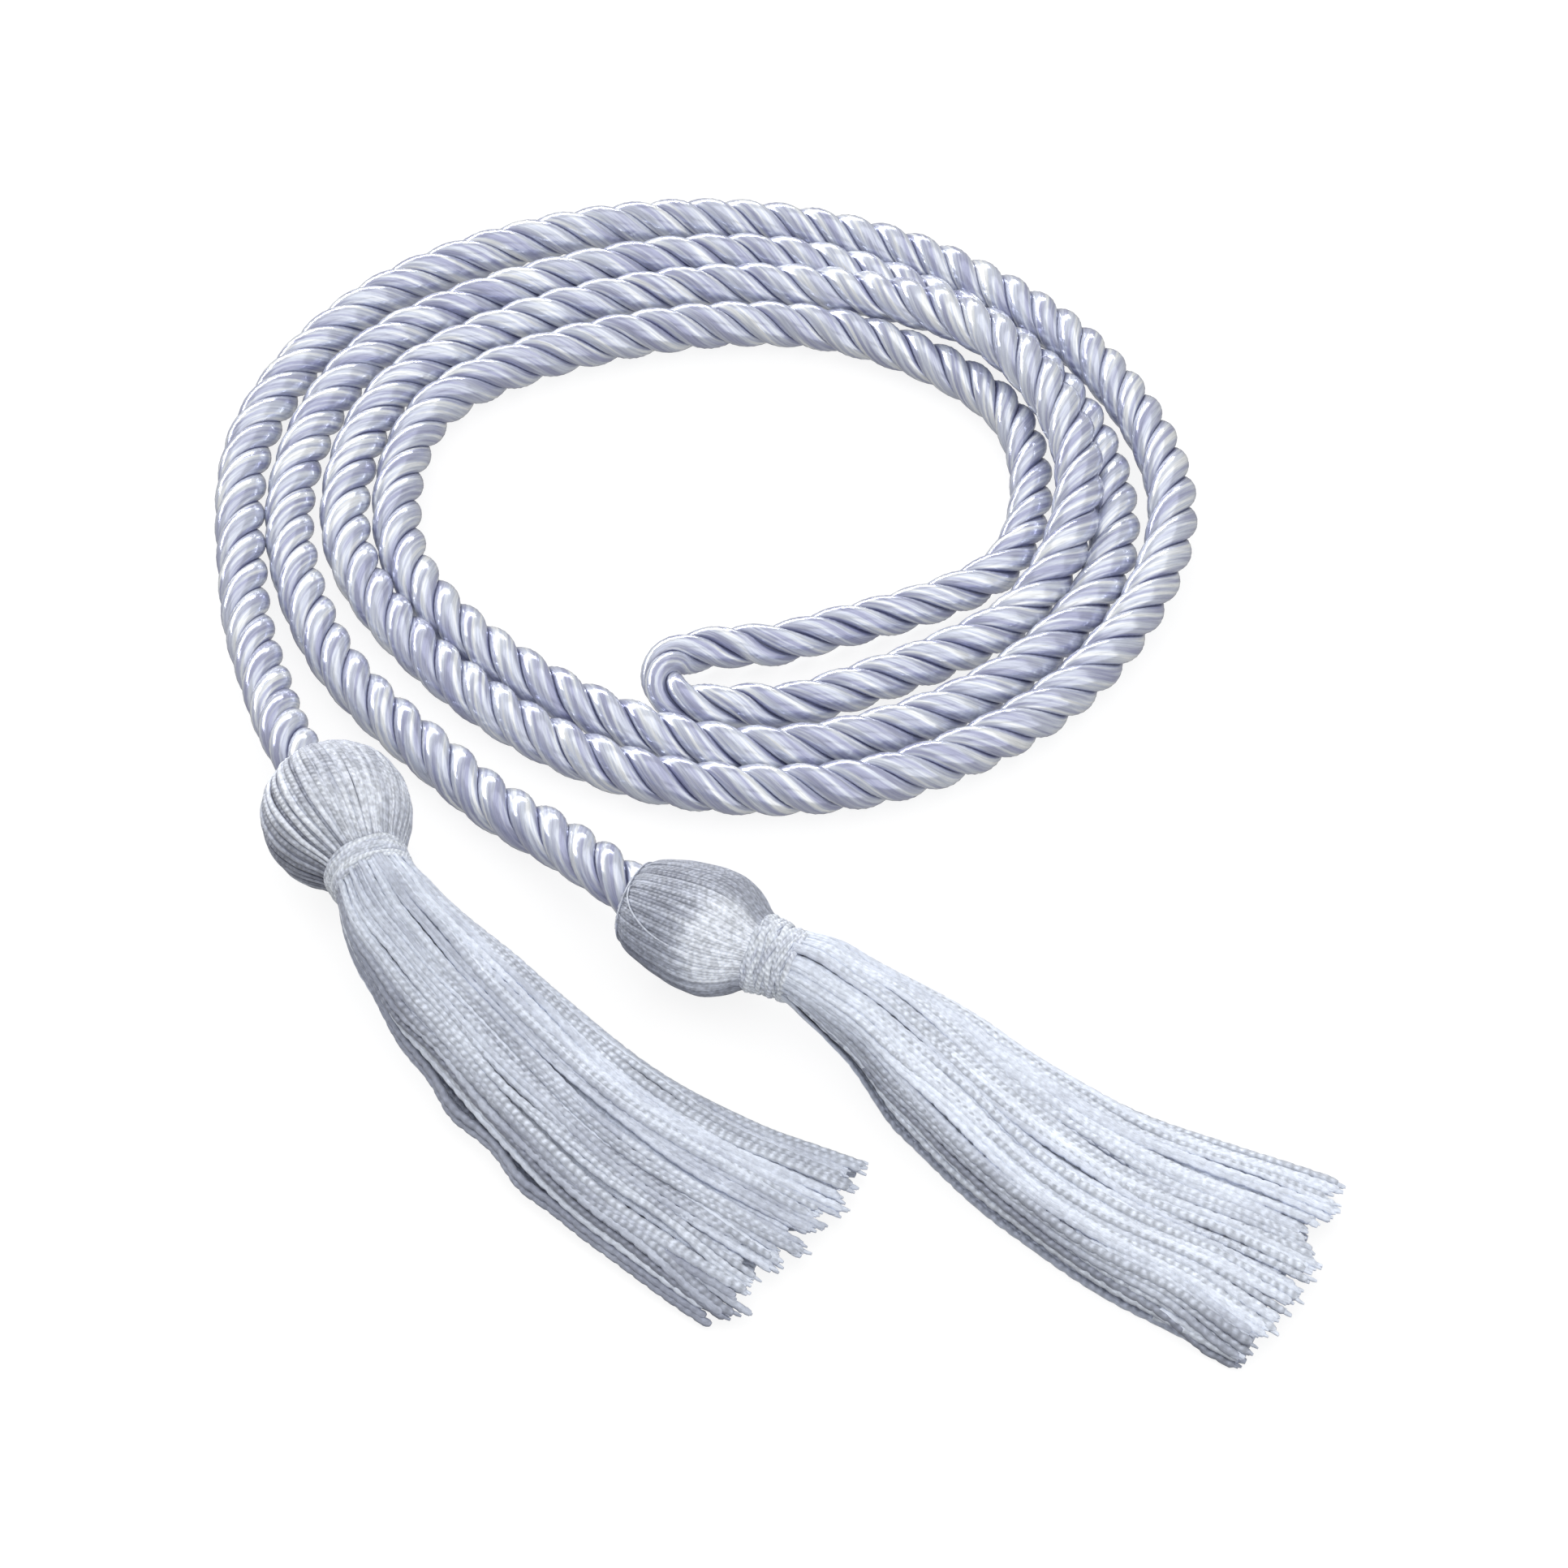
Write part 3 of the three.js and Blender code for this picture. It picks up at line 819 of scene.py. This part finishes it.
def wound_strand(tassel, places, angles, profile, normal, lift, **values):
    """A thread laid over the head at places along its outline and angles round it."""
    run = lengths_along(profile)
    along = np.interp(places, run, profile[:, 0])
    ring = np.interp(places, run, profile[:, 1])
    lean_along = np.interp(places, run, normal[:, 0])
    lean_round = np.interp(places, run, normal[:, 1])
    along, ring = along + lean_along * lift, ring + lean_round * lift
    points = around_axis(tassel, along, ring, angles)
    out = unit(np.column_stack([lean_along, lean_round * np.cos(angles), lean_round * np.sin(angles)]))
    return {
        "points": stand(tassel, points), "out": turn_out(tassel, out), "run": lengths_along(points), **values}


def make_head(tassel):
    rng = np.random.default_rng(tassel["seed"])
    radius = tassel["head_radius"]
    depth = HEAD_THREAD_DEPTH
    count = tassel["head_threads"]
    width = 2 * math.pi * radius / count * 1.45
    profile, normal = head_profile(tassel)
    core = profile - normal * depth * 1.1
    rows = [(along, max(out, 0.0003)) for along, out in core[::3]]
    pieces = [lathe(tassel, "head_core", rows, packed_thread)]

    total = lengths_along(profile)[-1]
    steps = np.linspace(0, total, 52)
    ring = np.interp(steps, lengths_along(profile), profile[:, 1]) / radius
    painted_sheen = tassel["painted_sheen"]
    strands = []
    for thread in range(count):
        angle = 2 * math.pi * (thread + rng.uniform(-0.2, 0.2)) / count
        wander = angle + slow_noise(rng, len(steps), 6, 1.2 / count)
        ridge = ridge_at(tassel, angle)
        lift = -depth * 0.55 + ridge * 0.00028 * ring + slow_noise(rng, len(steps), 7, 0.00008)
        streak = (rng.uniform(-1, 1) + slow_noise(rng, len(steps), 8, 1)) * tassel["streaks"]
        # One pale patch of painted sheen, painted shade on the underside and near side, and threads lighter
        # on the ridges and darker in the valleys between them as painted shade
        degrees = np.degrees(angle) % 360
        apart = (degrees - painted_sheen["angle"] + 180) % 360 - 180
        share_apart = steps / total - painted_sheen["share"]
        # Painted sheen: a pale patch where the satin catches the light
        patch = np.exp(-(apart / painted_sheen["wide"]) ** 2 - (share_apart / painted_sheen["long"]) ** 2)
        # Painted shade: threads darker round the underside and near side of the head
        dim = np.clip((degrees - 140) / 50, 0, 1) * np.clip((330 - degrees) / 50, 0, 1)
        # Painted shade: threads lighter on the ridges and darker down in the valleys between them
        tone = tassel["head_tone"] + 0.32 * ridge + streak + painted_sheen["much"] * patch - tassel["painted_underside_shade"] * dim
        strands.append(wound_strand(
            tassel, steps, wander, profile, normal, lift,
            size=np.clip(ring, 0.3, 1.0), shade=tone, chain=rng.uniform(0.2, 0.7), offset=rng.uniform(0, 1)))
    for stray in tassel["strays"]:
        # It starts round the head and bends to run along it
        bend = np.linspace(0, math.pi / 2, 60)
        turn = np.radians(mix(stray["from_angle"], stray["to_angle"], np.sin(bend)))
        places = mix(stray["from_share"], stray["to_share"], 1 - np.cos(bend)) * total
        strands.append(wound_strand(
            tassel, places, turn, profile, normal, 0.0, size=0.34, shade=0.6, chain=0.2, offset=0.0))
    pieces.append(grow("head_threads", strands, head_tree, {
        "Thread Width": width, "Thread Depth": depth, "Stitch Length": HEAD_STITCH_LENGTH,
        "Stitch Swell": 0.0, "Stitch Sway": 0.0, "Thread Sides": 6,
    }))
    return join(tassel["side"] + "_head_threads", pieces)


def make_band(tassel):
    rng = np.random.default_rng(tassel["seed"] + 1)
    inner = tassel["neck_radius"] + SEAM
    start = head_end(tassel) + SEAM
    end = start + tassel["band_length"]
    depth = BAND_THREAD_DEPTH
    outer = inner + tassel["band_wall"]

    def radius_at(along):
        share = np.clip((np.asarray(along) - start) / tassel["band_length"] * 2, 0, 1)
        return mix(outer + tassel["band_taper"], outer, share)

    def winding(along, ring, angle, **values):
        points = around_axis(tassel, along, ring, angle)
        out = np.column_stack([np.zeros(len(angle)), np.cos(angle), np.sin(angle)])
        return {
            "points": stand(tassel, points), "out": turn_out(tassel, out), "run": lengths_along(points),
            "offset": 0.0, **values}

    places = np.linspace(start, end, 12)
    rows = [(start, inner)] + [(place, radius_at(place) - depth * 1.1) for place in places] + [(end, inner)]
    pieces = [lathe(tassel, "band_core", rows, packed_thread, closed_ring=True)]

    # The winding goes to and fro, and bunches up
    turns = tassel["band_turns"] * 3
    angle = np.linspace(0, 2 * math.pi * turns, turns * 60)
    wound = tassel["band_length"] * tassel["band_covered"]
    swing = np.arcsin(np.sin(angle * 0.43 + slow_noise(rng, len(angle), turns, 1.2))) * 2 / math.pi
    along = start + wound * (0.5 + 0.52 * swing) + slow_noise(rng, len(angle), turns * 4, 0.00035)
    ring = radius_at(along) - depth * 0.45 + slow_noise(rng, len(angle), turns * 5, 0.00032)
    above = winding(
        along, ring, angle, chain=0.8, size=0.95 + slow_noise(rng, len(angle), turns * 5, 0.3),
        shade=0.72 + slow_noise(rng, len(angle), turns * 7, 0.4))

    # An even winding beneath it closes its gaps
    rounds = int(wound / 0.00075)
    angle = np.linspace(0, 2 * math.pi * rounds, rounds * 50)
    along = np.linspace(start, start + wound, len(angle))
    beneath = winding(along, radius_at(along) - depth * 0.75, angle, chain=0.5, size=1.1, shade=0.55)
    pieces.append(grow("band_thread", [above, beneath], band_tree, {
        "Thread Width": BAND_THREAD_WIDTH, "Thread Depth": depth,
        "Stitch Length": HEAD_STITCH_LENGTH, "Stitch Swell": 0.0, "Stitch Sway": 0.0, "Thread Sides": 8,
    }))
    return join(tassel["side"] + "_neck_winding", pieces)


def skirt_places(tassel, along):
    """Where the skirt's middle line runs, and how wide, high and turned it is, at shares of its length."""
    root = tassel["neck_radius"] + SEAM + tassel["band_wall"]
    slices = np.linspace(0, 1, SKIRT_SLICES + 1)
    turn = np.radians(read_table(tassel["spread"], "turn", slices))
    step = tassel["skirt_length"] / SKIRT_SLICES
    start = head_end(tassel) + 2 * SEAM + tassel["band_length"]
    middle_x = start + np.r_[0, np.cumsum(np.cos(turn[:-1]))] * step
    middle_y = np.r_[0, np.cumsum(np.sin(turn[:-1]))] * step
    wide = read_table(tassel["spread"], "wide", along)
    drop = read_table(tassel["spread"], "drop", along)
    fall = read_table(tassel["spread"], "fall", along)
    # Past its ends the middle line runs straight on
    over = (np.maximum(along - 1, 0) + np.minimum(along, 0)) * tassel["skirt_length"]
    turns = np.interp(along, slices, turn)
    return {
        "x": np.interp(along, slices, middle_x) + over * np.cos(turns),
        "y": np.interp(along, slices, middle_y) + over * np.sin(turns),
        "turn": turns,
        "half": mix(root, tassel["skirt_width"] / 2, wide),
        "lead": tassel["skirt_skew"] / 2 * along,
        "top": mix(tassel["head_radius"] + root, tassel["skirt_thickness"], drop),
        "under": mix(tassel["head_radius"] - root, 0, fall),
        "flat": fall,
    }


def lay_on_skirt(places, across, up):
    """Points at shares across and up, inside the skirt's form."""
    across = np.clip(across, -1, 1)
    round_share = np.sqrt(np.maximum(1 - across**2, 0))
    dome = mix(round_share, np.sqrt(np.maximum(1 - across**4, 0)), places["flat"])
    centre = (places["top"] + places["under"]) / 2
    radius = (places["top"] - places["under"]) / 2
    low = mix(centre - radius * round_share, places["under"], places["flat"])
    flat_top = places["under"] + (places["top"] - places["under"]) * mix(0.25, 1, dome)
    high = mix(centre + radius * round_share, flat_top, places["flat"])
    side = across * places["half"]
    ahead = across * places["lead"]
    cos, sin = np.cos(places["turn"]), np.sin(places["turn"])
    return np.column_stack([
        places["x"] + cos * ahead - sin * side,
        places["y"] + sin * ahead + cos * side,
        mix(low, high, up),
    ])


def skirt_strand(tassel, across, up, start, end, step, lift=0.0, aside=0.0, size=1.0, **values):
    """One thread of the skirt at shares across and up, from one share of its length to another.

    What changes along it is given as SKIRT_VALUES values, evenly spread.
    """
    along = np.linspace(start, end, SKIRT_VALUES)
    places = skirt_places(tassel, along)
    round_across = np.sin(np.clip(across, -1, 1) * math.pi / 2)
    place = mix(round_across, across, places["flat"])
    points = lay_on_skirt(places, place, up)
    out = lay_on_skirt(places, place, min(up + 0.3, 1.6)) - lay_on_skirt(places, place, up - 0.3)
    cross = np.column_stack([-np.sin(places["turn"]), np.cos(places["turn"]), np.zeros(SKIRT_VALUES)])
    spread = cross * place[:, None]
    out = unit(unit(out) * (1 if up > 0.3 else -1) + spread * (1.2 - places["flat"])[:, None])
    # The root lies over the end of the neck band and swells
    swell = tassel["root_swell"] * np.exp(-((along - 0.03) / 0.045) ** 2)
    points = points + out * (lift - THREAD_DEPTH / 2 + swell)[:, None]
    points = points + cross * np.reshape(aside, (-1, 1))
    # The ends droop
    points[:, 2] *= 1 - 0.45 * np.clip((along - 0.84) / 0.16, 0, 1) ** 1.5
    points[:, 2] = np.maximum(points[:, 2], THREAD_DEPTH * 0.5)
    path, run = even_steps(points, step)
    old = lengths_along(points)

    def respread(value):
        return np.interp(run, old, np.broadcast_to(value, (SKIRT_VALUES,)))

    out = unit(np.column_stack([respread(out[:, axis]) for axis in range(3)]))
    narrow = np.clip(respread(places["half"]) / (tassel["skirt_width"] / 2) + 0.3, 0, 1)
    values = {label: respread(value) for label, value in values.items()}
    values["chain"] = values["chain"] * np.clip(np.interp(run, old, along) * 4, 0.45, 1)
    # Blunt ends
    blunt = np.clip((run[-1] - run) / 0.0009 + 0.62, 0, 1)
    return {
        "points": stand(tassel, path), "out": turn_out(tassel, out), "run": run,
        "size": narrow * size * blunt, **values}


def make_skirt(tassel):
    rng = np.random.default_rng(tassel["seed"] + 2)
    ragged = tassel["raggedness"]
    share = np.linspace(0, 1, SKIRT_VALUES)
    upper, inner, under = [], [], []

    def wander(knots, size):
        return slow_noise(rng, SKIRT_VALUES, knots, size)

    def root_at(across):
        return tassel["root_start"] + tassel["root_lean"] * across + rng.uniform(-0.004, 0.004)

    # The upper threads hang together in locks, with valleys between them
    near = -0.93 if tassel["near_lock"] else -0.985
    edges = np.linspace(near, 0.985, LOCKS + 1)
    edges[1:-1] += rng.uniform(-0.035, 0.035, LOCKS - 1)
    for lock in range(LOCKS):
        low, high = edges[lock], edges[lock + 1]
        sway = wander(6, 0.055) * np.clip(share * 3, 0, 1)
        rise = wander(5, 0.00022)
        tone = tassel["tone"] + rng.uniform(-0.1, 0.1) + wander(6, 0.1)
        lock_end = 1.0 - ragged * rng.uniform(0, 0.75)
        count = int(round((high - low) / LOCK_THREAD_SHARE))
        for thread in range(count):
            spot = (thread + 0.5) / count * 2 - 1
            across = (low + high) / 2 + spot * (high - low) / 2 + sway + wander(7, 0.028)
            across = np.clip(across, -1, 1)
            edge = abs(spot) ** 3
            end = lock_end - ragged * rng.uniform(0, 0.45) - 0.035 * abs(np.mean(across)) ** 5
            above = rise - 0.0012 * tassel["valley"] * edge + wander(6, 0.0002)
            # Painted shade: threads darker towards the near side's edge, and at a lock's edges down in the
            # valleys between locks
            near_edge_shade = tassel["near_edge_shade"] * np.clip((-across - 0.66) / 0.28, 0, 1)
            shade = tone - tassel["valley"] * edge - near_edge_shade + rng.uniform(-0.14, 0.14)
            offset = rng.uniform(0, 1)
            upper.append(skirt_strand(
                tassel, across, 1.0, root_at(across[0]), end, THREAD_STEP, lift=above,
                size=rng.uniform(0.75, 1.15), chain=rng.choice([0.1, 0.35, 0.7, 1.0]),
                shade=shade, offset=offset))
            # Its end frays into finer strands
            for _ in range(3):
                frayed_at = end - rng.uniform(0.02, 0.05)
                spots = np.linspace(frayed_at, end, SKIRT_VALUES)
                place = np.interp(spots, np.linspace(0, end, SKIRT_VALUES), across)
                upper.append(skirt_strand(
                    tassel, place, 1.0, frayed_at, end + rng.uniform(-0.004, 0.014), FRAYED_STEP,
                    lift=above[-1] - 0.0001, aside=rng.uniform(-0.00055, 0.00055) * share,
                    size=rng.uniform(0.35, 0.55), chain=0.2, shade=shade[-1], offset=offset))
    # A thin lock stands off the near side, with two slits beside it
    if tassel["near_lock"]:
        away = -tassel["near_lock"] * (
            np.exp(-((share - 0.44) / 0.055) ** 2) + 0.9 * np.exp(-((share - 0.62) / 0.05) ** 2))
        # Its threads take the darkest tone, painted shade of the near side
        for across in (-0.985, -0.955):
            upper.append(skirt_strand(
                tassel, np.full(SKIRT_VALUES, across), 0.8, root_at(across),
                0.97 - ragged * rng.uniform(0, 0.6), NEAR_LOCK_STEP, aside=away,
                size=0.9, shade=0.0, chain=0.3, offset=rng.uniform(0, 1)))

    def layer(strands, count, reach, up, start, shortest):
        for across in np.linspace(-reach, reach, count):
            place = np.clip(across + wander(6, 0.03), -reach, reach)
            strands.append(skirt_strand(
                tassel, place, up, start, 0.955 - ragged * rng.uniform(0.0, shortest), LAYER_STEP,
                shade=tassel["tone"] + rng.uniform(-0.1, 0.2), chain=rng.choice([0.3, 0.9]),
                offset=rng.uniform(0, 1)))

    layer(inner, 44, abs(near) - 0.02, 0.86, 0.0, 0.4)
    layer(inner, 34, abs(near) - 0.04, 0.45, 0.8, 0.6)
    layer(under, 32, abs(near) - 0.03, 0.06, -0.02, 0.6)

    side = tassel["side"]
    coarse = {"Thread Sides": 6}
    pieces = [
        grow(side + "_skirt_upper_threads", upper, skirt_tree),
        grow(side + "_skirt_inner_threads", inner, skirt_tree, coarse),
        grow(side + "_skirt_under_threads", under, skirt_tree, coarse),
    ]
    rings = []
    rim = abs(near) - 0.09
    across = np.r_[np.linspace(-rim, rim, 7), np.linspace(rim, -rim, 7)]
    up = np.r_[np.full(7, 0.3), np.full(7, 0.62)]
    for along in np.linspace(-0.02, 0.9, 40):
        places = skirt_places(tassel, np.full(14, along))
        rings.append(stand(tassel, lay_on_skirt(places, across, up)))
    pieces.append(face_outwards(ring_mesh(side + "_skirt_packing", rings, packed_thread)))
    return pieces


def make_tassel(tassel):
    side = tassel["side"]
    head = make_head(tassel)
    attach(head, "root")
    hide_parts(side + "_tassel_head")
    band = make_band(tassel)
    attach(band, "root")
    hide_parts(side + "_tassel_neck_band")
    for piece in make_skirt(tassel):
        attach(piece, "root")
        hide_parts(side + "_tassel_skirt")


# Camera, light and floor

def set_camera():
    camera = bpy.data.cameras.new("camera")
    camera.lens = CAMERA_LENS
    camera.sensor_width = 36.0
    camera.clip_start = 0.01
    holder = bpy.data.objects.new("camera", camera)
    holder.location = CAMERA_PLACE
    holder.rotation_euler = (math.radians(CAMERA_TILT), 0, 0)
    bpy.context.collection.objects.link(holder)
    bpy.context.scene.camera = holder


def add_light(name, place, size, power):
    """A rectangular light that faces the middle of the cord."""
    lamp = bpy.data.lights.new(name, "AREA")
    lamp.shape = "RECTANGLE"
    lamp.size, lamp.size_y = size
    lamp.energy = power
    holder = bpy.data.objects.new(name, lamp)
    bpy.context.collection.objects.link(holder)
    holder.location = place
    x, y, z = place
    holder.rotation_euler = (math.atan2(math.hypot(x, y), z), 0, math.atan2(-y, -x) - math.pi / 2)


def set_studio():
    # A room that is brightest overhead and dim near and below the horizon
    world = bpy.data.worlds.new("studio")
    world.use_nodes = True
    room = Nodes(world.node_tree)
    direction = room.add("ShaderNodeTexCoord").outputs["Generated"]
    rise = room.add("ShaderNodeSeparateXYZ", {0: direction}).outputs[2]
    tone = room.ramp(rise, [(0.0, 0.42), (0.9, 0.62)])
    room.tree.links.new(tone, room.tree.nodes["Background"].inputs["Color"])
    bpy.context.scene.world = world
    bpy.context.scene.view_settings.view_transform = "Standard"
    for light in LIGHTS:
        add_light(**light)

    floor = bpy.data.meshes.new("floor")
    corners = [(x * FLOOR_REACH, y * FLOOR_REACH, 0) for x, y in ((-1, -1), (1, -1), (1, 1), (-1, 1))]
    floor.from_pydata(corners, [], [(0, 1, 2, 3)])
    # White paper lit from below, so that shadows on it stay faint
    paper = Finish("pale_floor", roughness=0.9, sheen=0.0)
    paper.set("Base Color", (0.2, 0.2, 0.2, 1.0))
    paper.set("Emission Color", (1.0, 1.0, 1.0, 1.0))
    paper.set("Emission Strength", 0.84)
    floor.materials.append(paper.material)
    holder = bpy.data.objects.new("floor", floor)
    bpy.context.collection.objects.link(holder)
    holder.visible_diffuse = False
    holder.visible_glossy = False


set_camera()
rope, rope_points, rope_length = make_rope()
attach(rope, "root")
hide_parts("rope")
make_tassel(LEFT_TASSEL)
make_tassel(RIGHT_TASSEL)
set_studio()
